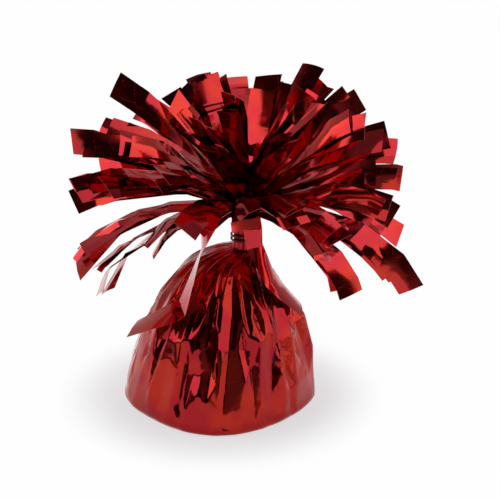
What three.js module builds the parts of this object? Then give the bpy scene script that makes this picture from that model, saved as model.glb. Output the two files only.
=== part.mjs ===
// Foil-wrapped balloon weight: a filled cone in two sheets of film, tied at the neck, with slit
// margins that fan out above it. Millimetres, +Z up, origin at the centre of the base on the floor.
import * as THREE from 'three';

// Body of the wrapped weight, whose axis leans over towards the neck
const BASE_RADIUS = 34.2;
const SHOULDER_HEIGHT = 56.5;
const BODY_SWELL = 1.6;
const BODY_FULLNESS = 0.62;
const FLOOR_ROUND = 1.5;
const BODY_LEAN = 2;
const NECK_LEAN = 9;
const LEAN_POWER = 18;

// Four flats give the base soft corners at the front, the back and the sides, and fade out above it
const FLAT_INSET = 2.2;
const FLAT_HEIGHT = 34;

// Gathered neck
const NECK_RADIUS = 4.6;
const NECK_LENGTH = 9.5;
const NECK_WAIST = 0.5;

// Film, drawn thicker than the real 0.03 mm so that it is a solid
const FILM = 0.4;
const FILM_GAP = 0.45;
const NECK_PLIES = 1.5;
const THROAT_RADIUS = 0.6;
const GATHER_LENGTH = 8;

// Pleats that the gathering makes, each with a ridge and a valley. They open above a smooth foot, and
// their width and depth change from pleat to pleat and with height.
const PLEATS = 23;
const FOOT_DEPTH = 0.3;
const FOOT_HEIGHT = 3;
const OPEN_HEIGHT = 24;
const PLEAT_DEPTH = 2.5;
const PLEAT_SHARE_OF_RADIUS = 0.13;
const PLEAT_WANDER = 0.34;
const PLEAT_UNEVENNESS = 0.35;
const PLEAT_SLANT = 7;
const WANDER_BEAT = 1.9;
const WANDER_LENGTH = 75;
const DEPTH_BEAT = 2.3;
const DEPTH_LENGTH = 48;

// One fold stands out of the right side as a corner
const CORNER_FOLD = 45;
const CORNER_PROUD = 3.4;
const CORNER_FROM = 10;
const CORNER_PEAK = 28;
const CORNER_TO = 42;

// Weight inside
const SHELL_WALL = 1.2;
const SHELL_BELOW_SHOULDER = 11;
const SHELL_BEVEL = 3;
const PLATE_FLANGE = 1.6;
const PLATE_BEVEL = 1.2;
const PLATE_PLUG = 2;
const WEIGHT_GAP = 0.7;
const SEAT_GAP = 0.3;
const TURNED_SIDES = 32;

// Wire tie round the neck, with its two ends twisted together
const WIRE = 0.8;
const TIE_ABOVE_SHOULDER = 2.6;
const TIE_TURNS = 2;
const TIE_PITCH = 1.4;
const TIE_OPENING = 52;
const TAIL_TURN = 97;
const TAIL_LENGTH = 7;
const TAIL_REACH = 3.4;
const TAIL_TWISTS = 1.5;
const TAIL_GAP = 0.6;
const LOOP_STEPS = 20;
const TWIST_STEPS = 7;
const WIRE_SIDES = 6;

// Film strips
const STRIP_WIDTH = 9;
const STRIP_CREASE = 0.7;
const STRIP_STEPS = 10;
const FALLEN_STEPS = 13;
const ROOT_CROWDING = 0.85;
const ROOT_CLEARANCE = 0.2;
const ROOT_STUB = 1.2;
const TIP_HANDLE = 0.4;

// A strip of the middle tier is two plies, folded together at the root, which part towards their tips
const PLIES_APART_AT_ROOT = 0.65;
const PLIES_APART_AT_TIP = 4;
const PARTING_POWER = 2;

// The fan spreads about a centre above the neck, and reaches out about this far from it
const FAN_ABOVE_NECK = 6;
const FAN_REACH = 60;

// Each tier's roots stand in a ring on the neck's top, set in from its rim, from the right and
// anticlockwise. The rise handle is the share of a strip's reach over which it rises out of the neck.
// For each strip, turn, rise and reach place its tip as seen from the fan's centre, in degrees and in
// shares of the fan's reach, bend is how far it arches and roll how far its face has turned over at
// the tip.
const STRIP_TIERS = {
  low: {
    rootInset: 0.65,
    riseHandle: 0.2,
    strips: [
      { turn: 4, rise: -7, reach: 0.87, bend: 34, roll: 75 },
      { turn: 17, rise: -18, reach: 1, bend: 36, roll: 60 },
      { turn: 40, rise: -13, reach: 0.95, bend: 36, roll: 20 },
      { turn: 59, rise: -4, reach: 0.97, bend: 30, roll: -15 },
      { turn: 78, rise: -13, reach: 0.95, bend: 38, roll: 10 },
      { turn: 97, rise: -5, reach: 0.98, bend: 30, roll: -20 },
      { turn: 115, rise: -14, reach: 0.95, bend: 38, roll: 15 },
      { turn: 134, rise: -4, reach: 1, bend: 30, roll: -40 },
      { turn: 150, rise: 5, reach: 1, bend: 28, roll: -60 },
      { turn: 168, rise: -4, reach: 1.02, bend: 28, roll: -70 },
      { turn: 179, rise: -24, reach: 1.05, bend: 44, roll: -20 },
      { turn: 195, rise: -28, reach: 0.98, bend: 48, roll: 25 },
      { turn: 212, rise: -17, reach: 0.64, bend: 50, roll: 30 },
      { route: 'left_shoulder', twist: 46 },
      { turn: 246, rise: 8, reach: 0.78, bend: 32, roll: -30 },
      { turn: 270, rise: 10, reach: 0.74, bend: 34, roll: 15 },
      { route: 'right_shoulder', twist: 0 },
      { turn: 313, rise: -14, reach: 0.66, bend: 38, roll: -20 },
      { turn: 337, rise: -35, reach: 0.8, bend: 44, roll: 35 },
      { turn: 351, rise: -26, reach: 1.07, bend: 42, roll: 70 },
    ],
  },
  middle: {
    rootInset: 1.4,
    riseHandle: 0.16,
    doubled: true,
    strips: [
      { turn: 2, rise: 9, reach: 0.9, bend: 24, roll: 80 },
      { turn: 25, rise: 11, reach: 0.95, bend: 24, roll: 65 },
      { turn: 45, rise: 20, reach: 0.97, bend: 20, roll: 35 },
      { turn: 66, rise: 16, reach: 0.97, bend: 20, roll: 15 },
      { turn: 88, rise: 20, reach: 0.97, bend: 20, roll: 0 },
      { turn: 110, rise: 17, reach: 0.97, bend: 20, roll: -15 },
      { turn: 132, rise: 20, reach: 1, bend: 22, roll: -40 },
      { turn: 153, rise: 18, reach: 1, bend: 20, roll: -60 },
      { turn: 172, rise: 18, reach: 1.05, bend: 22, roll: -75 },
      { turn: 192, rise: 9, reach: 0.97, bend: 28, roll: -60 },
      { turn: 210, rise: 16, reach: 0.9, bend: 26, roll: -50 },
      { turn: 232, rise: 24, reach: 0.85, bend: 26, roll: -35 },
      { turn: 256, rise: 38, reach: 0.8, bend: 26, roll: -15 },
      { turn: 290, rise: 11, reach: 0.82, bend: 30, roll: 15 },
      { turn: 311, rise: 0, reach: 0.78, bend: 32, roll: 50 },
      { turn: 341, rise: 5, reach: 0.85, bend: 30, roll: 75 },
    ],
  },
  upper: {
    rootInset: 2.85,
    riseHandle: 0.2,
    strips: [
      { turn: 8, rise: 25, reach: 0.9, bend: 18, roll: 70 },
      { turn: 33, rise: 31, reach: 0.93, bend: 14, roll: 45 },
      { turn: 51, rise: 41, reach: 0.9, bend: 14, roll: 20 },
      { turn: 74, rise: 47, reach: 0.79, bend: 14, roll: 5 },
      { turn: 95, rise: 38, reach: 0.88, bend: 14, roll: -5 },
      { turn: 118, rise: 46, reach: 0.84, bend: 15, roll: -20 },
      { turn: 144, rise: 52, reach: 0.75, bend: 12, roll: -40 },
      { turn: 164, rise: 40, reach: 1.0, bend: 10, roll: -65 },
      { turn: 207, rise: 32, reach: 0.9, bend: 20, roll: -60 },
      { turn: 240, rise: 50, reach: 0.8, bend: 18, roll: -20 },
      { turn: 292, rise: 42, reach: 0.8, bend: 20, roll: 25 },
      { turn: 345, rise: 37, reach: 0.86, bend: 22, roll: 60 },
    ],
  },
  crown: {
    rootInset: 3.65,
    riseHandle: 0.2,
    strips: [
      { turn: 21, rise: 54, reach: 0.74, bend: 12, roll: 35 },
      { turn: 70, rise: 58, reach: 0.76, bend: 10, roll: 10 },
      { turn: 128, rise: 62, reach: 0.76, bend: 10, roll: -20 },
      { turn: 185, rise: 58, reach: 0.74, bend: 10, roll: -50 },
      { turn: 250, rise: 74, reach: 0.72, bend: 12, roll: -10 },
      { turn: 315, rise: 58, reach: 0.74, bend: 14, roll: 40 },
    ],
  },
};

// Two strips have dropped out of the fan and hang over the body. Each passes places given by their
// turn about the body's axis, and by their height from the fan's centre and how far they stand off the
// pleats in route units.
const ROUTE_UNIT = 10;
const SHOULDER_ROUTES = {
  left_shoulder: [
    [231, -0.05, 0.5], [228, -0.2, 1.1], [225, -0.9, 1.6], [228, -1.8, 1.05],
    [238, -2.5, 0.42], [235, -2.95, 0.38], [224, -3.4, 0.36], [211, -3.85, 0.36], [199, -4.3, 0.48],
  ],
  right_shoulder: [
    [284, -0.1, 0.45], [284, -0.6, 0.62], [287, -1.1, 0.55], [299, -1.6, 0.42],
    [318, -2.15, 0.32], [336, -2.85, 0.27], [350, -3.7, 0.27],
  ],
};

const NECK_TOP = SHOULDER_HEIGHT + NECK_LENGTH;
const FAN_HEIGHT = NECK_TOP + FAN_ABOVE_NECK;
const PLY_LIFT = (PLIES_APART_AT_ROOT + FILM) / 2;
const TIE_HEIGHT = SHOULDER_HEIGHT + TIE_ABOVE_SHOULDER;
const PLATE_BOTTOM = 2 * (FILM + FILM_GAP) + SEAT_GAP;
const SHELL_MOUTH = PLATE_BOTTOM + PLATE_FLANGE + SEAT_GAP;
const SHELL_TOP = SHOULDER_HEIGHT - SHELL_BELOW_SHOULDER;

const radians = THREE.MathUtils.degToRad;
const smoothstep = THREE.MathUtils.smoothstep;
const lerp = THREE.MathUtils.lerp;
const UP = new THREE.Vector3(0, 0, 1);

const filmRed = { color: 0xb3222a, roughness: 0.22, metalness: 0.9 };
const stripRed = { color: 0x9a1418, roughness: 0.2, metalness: 0.9 };
const plasticWhite = { color: 0xe6e4dc, roughness: 0.5, metalness: 0 };
const castGrey = { color: 0xa9a49a, roughness: 0.9, metalness: 0 };
const wireRed = { color: 0x8c1c20, roughness: 0.45, metalness: 0.3 };

// A unit vector from a compass turn and a rise above the horizontal, both in degrees
function heading(turn, rise) {
  const level = Math.cos(radians(rise));
  const x = level * Math.cos(radians(turn));
  const y = level * Math.sin(radians(turn));
  return new THREE.Vector3(x, y, Math.sin(radians(rise)));
}

// A flat end made of triangles about the middle of a ring
function fanCap(ring) {
  const middle = new THREE.Vector3();
  ring.forEach((point) => middle.addScaledVector(point, 1 / ring.length));
  return ring.map((point, i) => [middle, point, ring[(i + 1) % ring.length]]);
}

// An end for a bent section: rungs between its two sides, whose points face each other in pairs
function rungCap(ring) {
  const last = ring.length - 1;
  const faces = [];
  for (let i = 0; i < (last - 1) / 2; i += 1) {
    const facing = last - i;
    faces.push([ring[i], ring[i + 1], ring[facing - 1]], [ring[i], ring[facing - 1], ring[facing]]);
  }
  return faces;
}

// One closed skin over a row of rings, each with as many points, with a cap at both ends
function skinOver(rings, capOf, splitOtherWay = () => false) {
  const count = rings[0].length;
  const corners = [];
  capOf(rings[0]).forEach(([a, b, c]) => corners.push(a, c, b));
  for (let row = 0; row + 1 < rings.length; row += 1) {
    for (let i = 0; i < count; i += 1) {
      const next = (i + 1) % count;
      const corner = [rings[row][i], rings[row][next], rings[row + 1][next], rings[row + 1][i]];
      const from = splitOtherWay(row, i) ? 1 : 0;
      corners.push(corner[from], corner[from + 1], corner[from + 2]);
      corners.push(corner[from + 2], corner[(from + 3) % 4], corner[from]);
    }
  }
  capOf(rings[rings.length - 1]).forEach((face) => corners.push(...face));
  const geometry = new THREE.BufferGeometry().setFromPoints(corners);
  geometry.computeVertexNormals();
  return geometry;
}

// A turned solid about the upright axis, from an outline of radius and height pairs
function turned(outline) {
  const points = outline.map(([radius, height]) => new THREE.Vector2(radius, height));
  return new THREE.LatheGeometry(points, TURNED_SIDES).rotateX(Math.PI / 2);
}

// Outline of the wrapped body at its pleat ridges
function ridgeRadius(z) {
  const climb = Math.min(z / SHOULDER_HEIGHT, 1);
  const dome = (BASE_RADIUS - NECK_RADIUS) * (1 - climb ** BODY_SWELL) ** BODY_FULLNESS;
  const upNeck = Math.max((z - SHOULDER_HEIGHT) / (NECK_TOP - SHOULDER_HEIGHT), 0);
  const waist = NECK_WAIST * Math.sin(Math.PI * upNeck);
  const intoFloor = Math.max(FLOOR_ROUND - z, 0);
  const rounding = FLOOR_ROUND - Math.sqrt(FLOOR_ROUND ** 2 - intoFloor ** 2);
  return NECK_RADIUS + dome - waist - rounding;
}

// The body leans a little, and its axis swings over to the neck's below the shoulder
function leanAt(z) {
  const climb = Math.min(z / SHOULDER_HEIGHT, 1);
  return lerp(BODY_LEAN * climb, NECK_LEAN, climb ** LEAN_POWER);
}

function flatInset(z) {
  return FLAT_INSET * (1 - smoothstep(z, 0, FLAT_HEIGHT));
}

// How far the flats lie in at an angle in radians, from nothing at a corner to their middle
function flatInsetAt(z, angle) {
  return flatInset(z) * (1 - Math.cos(4 * angle)) / 2;
}

function pleatDepth(z) {
  const opened = lerp(FOOT_DEPTH, PLEAT_DEPTH, smoothstep(z, FOOT_HEIGHT, OPEN_HEIGHT));
  return Math.min(opened, PLEAT_SHARE_OF_RADIUS * ridgeRadius(z));
}

// How far the corner on the right side stands out at a height
function cornerProud(z) {
  const rising = (z - CORNER_FROM) / (CORNER_PEAK - CORNER_FROM);
  const falling = (CORNER_TO - z) / (CORNER_TO - CORNER_PEAK);
  return CORNER_PROUD * Math.max(Math.min(rising, falling), 0);
}

// How far the plies have closed up into the solid throat, from 0 on the body to 1 in the neck
function gatherAt(z) {
  return smoothstep(z, SHOULDER_HEIGHT - GATHER_LENGTH, SHOULDER_HEIGHT);
}

// Folds alternate between ridge and valley, at uneven angles and depths
function foldPoint(fold, z, inward) {
  const wander = PLEAT_WANDER * Math.sin(WANDER_BEAT * fold + 2 * Math.PI * z / WANDER_LENGTH);
  const angle = (fold + wander) * Math.PI / PLEATS + radians(PLEAT_SLANT) * z / SHOULDER_HEIGHT;
  const beat = Math.sin(DEPTH_BEAT * fold + 2 * Math.PI * z / DEPTH_LENGTH);
  const uneven = PLEAT_UNEVENNESS * (1 + beat);
  const share = fold % 2 === 0 ? uneven : 1 - uneven / 2;
  const proud = fold === CORNER_FOLD ? cornerProud(z) : -pleatDepth(z) * share;
  const radius = ridgeRadius(z) - flatInsetAt(z, angle) + proud - inward;
  return new THREE.Vector3(leanAt(z) + radius * Math.cos(angle), radius * Math.sin(angle), z);
}

function pleatedRing(z, inward, rise = 0) {
  const ring = [];
  for (let fold = 0; fold < 2 * PLEATS; fold += 1) {
    const point = foldPoint(fold, z, inward);
    point.z += rise;
    ring.push(point);
  }
  return ring;
}

function smoothRing(z, clearRadius, height) {
  const ring = [];
  for (let step = 0; step < PLEATS; step += 1) {
    const angle = 2 * Math.PI * step / PLEATS;
    const radius = clearRadius - flatInsetAt(z, angle);
    ring.push(new THREE.Vector3(leanAt(z) + radius * Math.cos(angle), radius * Math.sin(angle), height));
  }
  return ring;
}

// Heights of the rings of film, from the floor's edge up to the neck's top
function bodyHeights(count) {
  const heights = [];
  for (let step = 1; step <= count; step += 1) {
    const share = Math.sin(0.5 * Math.PI * step / count);
    heights.push(lerp(FLOOR_ROUND, SHOULDER_HEIGHT, share));
  }
  return heights;
}

function neckHeights(count) {
  const heights = [];
  for (let step = 1; step <= count; step += 1) {
    heights.push(lerp(SHOULDER_HEIGHT, NECK_TOP, step / count));
  }
  return heights;
}

// The outer sheet is single on the body and many plies thick in the neck
function outerWall(z) {
  return lerp(FILM, NECK_PLIES, gatherAt(z));
}

// The outer sheet: floor, pleated body and gathered neck, with a bore left for the inner sheet
function outerFilm() {
  const outside = [0, 0.3 * FLOOR_ROUND, FLOOR_ROUND, ...bodyHeights(10), ...neckHeights(4)];
  const inside = [FLOOR_ROUND, ...bodyHeights(10), ...neckHeights(4)].reverse();
  const rings = outside.map((z) => pleatedRing(z, 0));
  rings.push(...inside.map((z) => pleatedRing(z, outerWall(z))));
  rings.push(pleatedRing(0, FILM, FILM));
  return skinOver(rings, fanCap, (row) => row >= outside.length);
}

// Clear radius inside the outer sheet, and inside the inner sheet
function insideOuterFilm(z) {
  return ridgeRadius(z) - pleatDepth(z) - outerWall(z) - FILM_GAP;
}

function insideInnerFilm(z) {
  return insideOuterFilm(z) - FILM;
}

// The inner sheet lies smoothly inside the outer one and fills its neck up to a small throat
function innerFilm() {
  const floor = FILM + FILM_GAP;
  const outside = [FLOOR_ROUND + floor, ...bodyHeights(10), ...neckHeights(2)];
  const inside = [...outside].reverse();
  const rings = [smoothRing(0, insideOuterFilm(0) - FILM, floor)];
  rings.push(...outside.map((z) => smoothRing(z, insideOuterFilm(z), z)));
  const boreAt = (z) => lerp(insideInnerFilm(z), THROAT_RADIUS, gatherAt(z));
  rings.push(...inside.map((z) => smoothRing(z, boreAt(z), z)));
  rings.push(smoothRing(0, insideOuterFilm(0) - 2 * FILM, floor + FILM));
  return skinOver(rings, fanCap);
}

// The weight stands upright inside the leaning films, so it narrows by their lean as well
function weightRadius(z) {
  return insideInnerFilm(z) - flatInset(z) - WEIGHT_GAP - leanAt(z);
}

// Outline of the shell from its mouth up, moved inwards for its inner wall and its filling
function shellOutline(inward) {
  const bevelStart = SHELL_TOP - SHELL_BEVEL;
  const steps = 5;
  const outline = [];
  for (let step = 0; step <= steps; step += 1) {
    const z = lerp(SHELL_MOUTH, bevelStart, step / steps);
    outline.push([weightRadius(z) - inward, z]);
  }
  outline.push([weightRadius(SHELL_TOP) - SHELL_BEVEL / 2 - inward, SHELL_TOP - inward]);
  return outline;
}

function weightShell() {
  const inner = shellOutline(SHELL_WALL);
  const outer = shellOutline(0);
  return turned([[0, SHELL_TOP - SHELL_WALL], ...inner.reverse(), ...outer, [0, SHELL_TOP]]);
}

// Radius at a height between the first two points of an outline
function radiusNearMouth(outline, z) {
  const [mouth, next] = outline;
  return lerp(mouth[0], next[0], (z - mouth[1]) / (next[1] - mouth[1]));
}

function weightFill() {
  const outline = shellOutline(SHELL_WALL + SEAT_GAP);
  const bottom = PLATE_BOTTOM + PLATE_FLANGE + PLATE_PLUG + SEAT_GAP;
  const top = SHELL_TOP - SHELL_WALL - SEAT_GAP;
  const sides = outline.slice(1);
  return turned([[0, bottom], [radiusNearMouth(outline, bottom), bottom], ...sides, [0, top]]);
}

function basePlate() {
  const flangeTop = PLATE_BOTTOM + PLATE_FLANGE;
  const plugTop = flangeTop + PLATE_PLUG;
  const flange = weightRadius(PLATE_BOTTOM);
  const plug = radiusNearMouth(shellOutline(SHELL_WALL + SEAT_GAP), plugTop);
  return turned([
    [0, PLATE_BOTTOM], [flange - PLATE_BEVEL, PLATE_BOTTOM], [flange, PLATE_BOTTOM + PLATE_BEVEL],
    [flange, flangeTop], [plug, flangeTop], [plug, plugTop], [0, plugTop],
  ]);
}

// One end of the tie: a straight end, then a half of the twisted pair in towards the neck
function tieTail(phase) {
  const middleHeight = TIE_HEIGHT + TIE_PITCH * TIE_TURNS / 2;
  const out = heading(TAIL_TURN, 0);
  const across = heading(TAIL_TURN + 90, 0);
  const swing = (WIRE + TAIL_GAP) / 2;
  const start = NECK_RADIUS + TAIL_REACH;
  const steps = Math.round(TWIST_STEPS * TAIL_TWISTS);
  const points = [];
  for (let step = 0; step <= steps; step += 1) {
    const share = step / steps;
    const angle = radians(phase) + 2 * Math.PI * TAIL_TWISTS * share;
    const point = new THREE.Vector3(NECK_LEAN, 0, middleHeight + swing * Math.sin(angle));
    point.addScaledVector(out, start + TAIL_LENGTH * share);
    point.addScaledVector(across, swing * Math.cos(angle));
    points.push(point);
  }
  points.push(points[points.length - 1].clone().addScaledVector(out, WIRE));
  return points;
}

// The tie's centre line, from one end round the neck to the other
function tieRoute() {
  const radius = NECK_RADIUS + SEAT_GAP + WIRE / 2;
  const winding = [];
  const swept = 360 * TIE_TURNS - TIE_OPENING;
  const steps = Math.round(LOOP_STEPS * swept / 360);
  for (let step = 0; step <= steps; step += 1) {
    const angle = TAIL_TURN + TIE_OPENING / 2 + swept * step / steps;
    const height = TIE_HEIGHT + TIE_PITCH * TIE_TURNS * step / steps;
    const point = heading(angle, 0).multiplyScalar(radius);
    winding.push(point.add(new THREE.Vector3(NECK_LEAN, 0, height)));
  }
  return [...tieTail(-90).reverse(), ...winding, ...tieTail(90)];
}

// Least clear distance between stretches of the wire that aren't neighbours along it
function leastGap(points, diameter) {
  const neighbours = 5 * diameter;
  let least = Infinity;
  points.forEach((point, i) => {
    let along = 0;
    for (let j = i + 1; j < points.length; j += 1) {
      along += points[j].distanceTo(points[j - 1]);
      if (along > neighbours) least = Math.min(least, point.distanceTo(points[j]) - diameter);
    }
  });
  return least;
}

// A round wire along its points, with a section of six sides that doesn't turn about it
function wireAlong(points, diameter) {
  let across = UP;
  const rings = points.map((point, i) => {
    const before = points[Math.max(i - 1, 0)];
    const after = points[Math.min(i + 1, points.length - 1)];
    const along = after.clone().sub(before).normalize();
    across = across.clone().addScaledVector(along, -across.dot(along)).normalize();
    const other = along.clone().cross(across);
    const ring = [];
    for (let side = 0; side < WIRE_SIDES; side += 1) {
      const angle = 2 * Math.PI * side / WIRE_SIDES;
      const rim = point.clone().addScaledVector(across, 0.5 * diameter * Math.cos(angle));
      ring.push(rim.addScaledVector(other, 0.5 * diameter * Math.sin(angle)));
    }
    return ring;
  });
  return skinOver(rings, fanCap);
}

// A strip's root on the neck's top
function rootOf(tier, index) {
  const { rootInset, strips, doubled } = STRIP_TIERS[tier];
  const turn = 360 * index / strips.length;
  const root = heading(turn, 0).multiplyScalar(NECK_RADIUS - rootInset);
  const seat = NECK_TOP + SEAT_GAP + (doubled ? PLY_LIFT : 0);
  root.add(new THREE.Vector3(NECK_LEAN, 0, seat));
  return { root, turn };
}

// A strip rises out of the neck, arches over and comes down at its tip
function archedCurve(root, strip, riseHandle) {
  const reach = strip.reach * FAN_REACH;
  const tip = heading(strip.turn, strip.rise).multiplyScalar(reach);
  tip.add(new THREE.Vector3(NECK_LEAN, 0, FAN_HEIGHT));
  const rising = root.clone().addScaledVector(UP, riseHandle * reach);
  const landing = heading(strip.turn, strip.rise - strip.bend);
  const beforeTip = tip.clone().addScaledVector(landing, -TIP_HANDLE * reach);
  return new THREE.CubicBezierCurve3(root, rising, beforeTip, tip);
}

// Until it has its full width, a strip fills its share of the circle round the neck
function stripWidth(point, count) {
  const fromAxis = Math.hypot(point.x - NECK_LEAN, point.y);
  const share = ROOT_CROWDING * 2 * Math.PI * fromAxis / count - ROOT_CLEARANCE;
  return Math.min(STRIP_WIDTH, share);
}

// A section across a strip: two edges and a crease between them, which stands proud of them
function stripSection({ middle, across, outward, width }, proud = 1) {
  const crease = proud * STRIP_CREASE * width / STRIP_WIDTH;
  const corner = (side, height) => {
    const point = middle.clone().addScaledVector(across, side * width / 2);
    return point.addScaledVector(outward, height);
  };
  const under = -FILM / 2;
  const over = FILM / 2;
  return [
    corner(-1, under), corner(0, under + crease), corner(1, under),
    corner(1, over), corner(0, over + crease), corner(-1, over),
  ];
}

// The second ply stands off the first one's outward face, ever further towards the tip
function secondPly(first, count) {
  const middles = first.map(({ middle, outward }, step) => {
    const share = (step / (first.length - 1)) ** PARTING_POWER;
    return middle.clone().addScaledVector(outward, lerp(PLIES_APART_AT_ROOT, PLIES_APART_AT_TIP, share));
  });
  return middles.map((middle, step) => {
    const before = middles[Math.max(step - 1, 0)];
    const after = middles[Math.min(step + 1, middles.length - 1)];
    const along = after.clone().sub(before).normalize();
    const across = first[step].across.clone();
    across.addScaledVector(along, -across.dot(along)).normalize();
    return { middle, across, outward: along.clone().cross(across), width: stripWidth(middle, count) };
  });
}

// Down the first ply from its tip, round the fold at the root and up the second ply
function doubledRings(first, second) {
  const down = first.map((station) => {
    const turnedOver = { ...station, outward: station.outward.clone().negate() };
    return stripSection(turnedOver, -1);
  });
  const foldMiddle = first[0].middle.clone().lerp(second[0].middle, 0.5);
  foldMiddle.addScaledVector(UP, -PLIES_APART_AT_ROOT / 2);
  const fold = { ...first[0], middle: foldMiddle, outward: UP.clone().negate() };
  return [...down.reverse(), stripSection(fold, 0), ...second.map((station) => stripSection(station))];
}

// A fallen strip leaves the neck upright too, then follows its places over the body
function fallenCurve(root, route) {
  const places = SHOULDER_ROUTES[route].map(([turn, fromCentre, standOff]) => {
    const z = FAN_HEIGHT + ROUTE_UNIT * fromCentre;
    const off = ridgeRadius(Math.min(z, NECK_TOP)) + ROUTE_UNIT * standOff;
    const place = heading(turn, 0).multiplyScalar(off);
    return place.add(new THREE.Vector3(leanAt(z), 0, z));
  });
  const stub = root.clone().addScaledVector(UP, ROOT_STUB);
  return new THREE.CatmullRomCurve3([root, stub, ...places]);
}

// How much of its twist a fallen strip has: none at the neck and where it lies on the body
function twistAt(share) {
  return smoothstep(share, 0.15, 0.4) * (1 - smoothstep(share, 0.55, 0.72));
}

// The stations along a strip: its middle, the directions across it and out of its face, and its width
function stripStations(tier, index) {
  const { strips, riseHandle } = STRIP_TIERS[tier];
  const strip = strips[index];
  const { root, turn: rootTurn } = rootOf(tier, index);
  const lies = strip.route !== undefined;
  const curve = lies ? fallenCurve(root, strip.route) : archedCurve(root, strip, riseHandle);
  const steps = lies ? FALLEN_STEPS : STRIP_STEPS;
  const stations = [];
  for (let step = 0; step < steps; step += 1) {
    const share = step / (steps - 1);
    const middle = curve.getPointAt(share);
    const along = curve.getTangentAt(share);
    const axisThere = new THREE.Vector3(leanAt(middle.z), 0, middle.z);
    const awayFromBody = middle.clone().sub(axisThere).setZ(0).normalize();
    const sideways = lies
      ? UP.clone().cross(awayFromBody)
      : heading(lerp(rootTurn, unwound(strip.turn, rootTurn), share) + 90, 0);
    const across = sideways.addScaledVector(along, -sideways.dot(along)).normalize();
    const outward = along.clone().cross(across);
    const roll = lies ? strip.twist * twistAt(share) : strip.roll * smoothstep(share, 0.2, 1);
    across.applyAxisAngle(along, radians(roll));
    outward.applyAxisAngle(along, radians(roll));
    stations.push({ middle, across, outward, width: stripWidth(middle, strips.length) });
  }
  return stations;
}

function filmStrip(tier, index) {
  const { strips, doubled } = STRIP_TIERS[tier];
  const first = stripStations(tier, index);
  const rings = doubled
    ? doubledRings(first, secondPly(first, strips.length))
    : first.map((station) => stripSection(station));
  // Both faces of the film are split into the same triangles, so that they bend alike
  return skinOver(rings, rungCap, (row, i) => i >= rings[0].length / 2);
}

// The same compass turn, written so that it is less than half a circle from another
function unwound(turn, near) {
  return near + THREE.MathUtils.euclideanModulo(turn - near + 180, 360) - 180;
}

const weight = new THREE.Group();

function addPiece(name, geometry, finish) {
  const mesh = new THREE.Mesh(geometry, new THREE.MeshStandardMaterial(finish));
  mesh.name = name;
  weight.add(mesh);
}

addPiece('base_plate', basePlate(), plasticWhite);
addPiece('weight_shell', weightShell(), plasticWhite);
addPiece('weight_fill', weightFill(), castGrey);
addPiece('inner_film', innerFilm(), filmRed);
addPiece('outer_film', outerFilm(), filmRed);

const tiePoints = tieRoute();
console.log(`Least gap of the wire tie to itself: ${leastGap(tiePoints, WIRE).toFixed(2)} mm`);
addPiece('wire_tie', wireAlong(tiePoints, WIRE), wireRed);

Object.entries(STRIP_TIERS).forEach(([tier, { strips }]) => {
  strips.forEach((strip, index) => {
    const number = String(index + 1).padStart(2, '0');
    const name = strip.route ? `${strip.route}_strip` : `${tier}_strip_${number}`;
    addPiece(name, filmStrip(tier, index), stripRed);
  });
});

export default weight;
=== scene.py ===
"""Looks of a balloon weight: a filled cone wrapped in metallised film, tied at the neck, with a fan of
slit film strips above it. Sizes are written in millimetres and become metres where a mesh is made."""

import logging
import math
import random
from dataclasses import dataclass
from enum import Enum
from typing import Iterable, Sequence

import bpy
from bpy.types import Material, Mesh, Node, NodeSocket, NodeTree, Object, World
from mathutils import Matrix, Vector
from mathutils.geometry import interpolate_bezier


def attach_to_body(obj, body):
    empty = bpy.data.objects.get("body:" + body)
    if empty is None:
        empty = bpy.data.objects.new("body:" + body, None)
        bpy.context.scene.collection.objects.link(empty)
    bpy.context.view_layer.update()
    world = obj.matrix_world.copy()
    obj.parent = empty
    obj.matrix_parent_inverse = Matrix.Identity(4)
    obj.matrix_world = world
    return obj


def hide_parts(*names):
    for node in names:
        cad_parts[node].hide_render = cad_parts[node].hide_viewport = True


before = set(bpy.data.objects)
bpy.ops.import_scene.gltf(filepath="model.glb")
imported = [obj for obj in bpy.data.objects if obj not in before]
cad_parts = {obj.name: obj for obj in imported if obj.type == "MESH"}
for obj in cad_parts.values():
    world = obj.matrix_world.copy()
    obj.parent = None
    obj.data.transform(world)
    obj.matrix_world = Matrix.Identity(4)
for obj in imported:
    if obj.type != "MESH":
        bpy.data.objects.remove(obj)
log = logging.getLogger("balloon_weight")

MM = 0.001
BODY = "root"
UP = Vector((0.0, 0.0, 1.0))
WHITE = "#FFFFFF"

# What may feed a node's input, where a node stands for its first output.
Feed = Node | NodeSocket | float | tuple
# The two ends of a range, or the two numbers of a place.
Pair = tuple[float, float]


# Small tools


def linear(hex_colour: str) -> tuple[float, float, float, float]:
    """Turns an sRGB hex value to linear light.

    Args:
        hex_colour: six hex digits after a hash sign.

    Returns:
        Linear red, green and blue, and an alpha of one.
    """
    digits = hex_colour.lstrip("#")
    shares = [int(digits[i:i + 2], 16) / 255 for i in (0, 2, 4)]
    red, green, blue = (
        share / 12.92 if share <= 0.04045 else ((share + 0.055) / 1.055) ** 2.4
        for share in shares
    )
    return red, green, blue, 1.0


def lerp(start: float, end: float, share: float) -> float:
    """Returns the value at a share of the way from start to end."""
    return start + (end - start) * share


def smoothstep(value: float, low: float, high: float) -> float:
    """Returns a smooth rise from 0 at low to 1 at high."""
    share = min(max((value - low) / (high - low), 0.0), 1.0)
    return share * share * (3 - 2 * share)


def heading(turn: float, rise: float = 0.0) -> Vector:
    """Returns the unit vector of a turn about the upright and a rise above the level, in degrees."""
    turn, rise = math.radians(turn), math.radians(rise)
    level = math.cos(rise)
    return Vector((level * math.cos(turn), level * math.sin(turn), math.sin(rise)))


def unwound(turn: float, near: float) -> float:
    """Returns the same turn written so that it is less than half a circle from another."""
    return near + (turn - near + 180) % 360 - 180


def new_object(name: str, mesh: Mesh) -> Object:
    """Returns a new object that shows a mesh, linked to the scene."""
    piece = bpy.data.objects.new(name, mesh)
    bpy.context.scene.collection.objects.link(piece)
    return piece


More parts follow.
